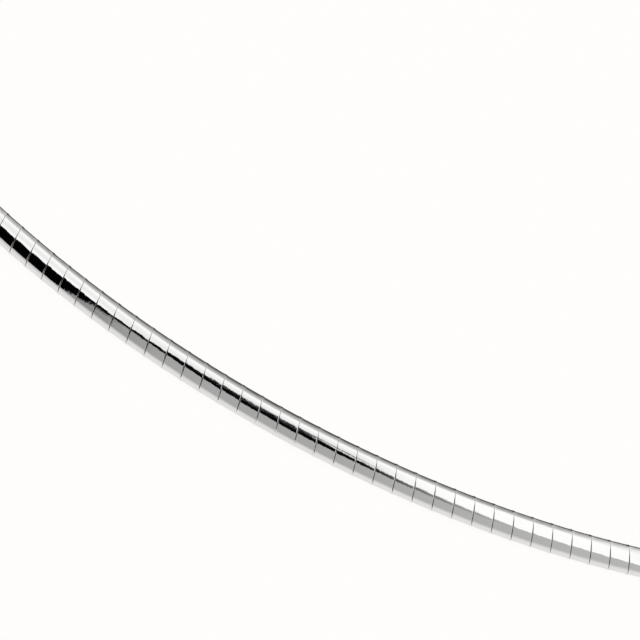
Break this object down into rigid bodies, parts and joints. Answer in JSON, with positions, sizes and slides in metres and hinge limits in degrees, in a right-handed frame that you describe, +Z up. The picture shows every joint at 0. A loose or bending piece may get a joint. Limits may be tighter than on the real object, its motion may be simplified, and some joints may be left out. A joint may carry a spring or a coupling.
{
  "type": "omega necklace",
  "caption": "Stiff round omega collar of slanted domed metal plates on a flat mesh ribbon, closed at the back by a plain box clasp.",
  "frame": {"origin": "on the surface that the collar lies on, below the middle of its box", "axes": "+Z up, the collar's own axis; the front of the collar is at -Y and the clasp at +Y; +X is to the right seen from the front"},
  "size_m": [0.1388, 0.139, 0.0029],
  "materials": {
    "polished_plates": "mirror polished white metal",
    "mesh_ribbon": "woven wire, satin",
    "polished_caps": "mirror polished white metal"
  },
  "bodies": {
    "root": {"plates_left": "polished_plates", "plates_right": "polished_plates", "mesh_ribbon": "mesh_ribbon", "end_cap_left": "polished_caps", "end_cap_right": "polished_caps", "box_clasp": "polished_caps"}
  },
  "joints": []
}
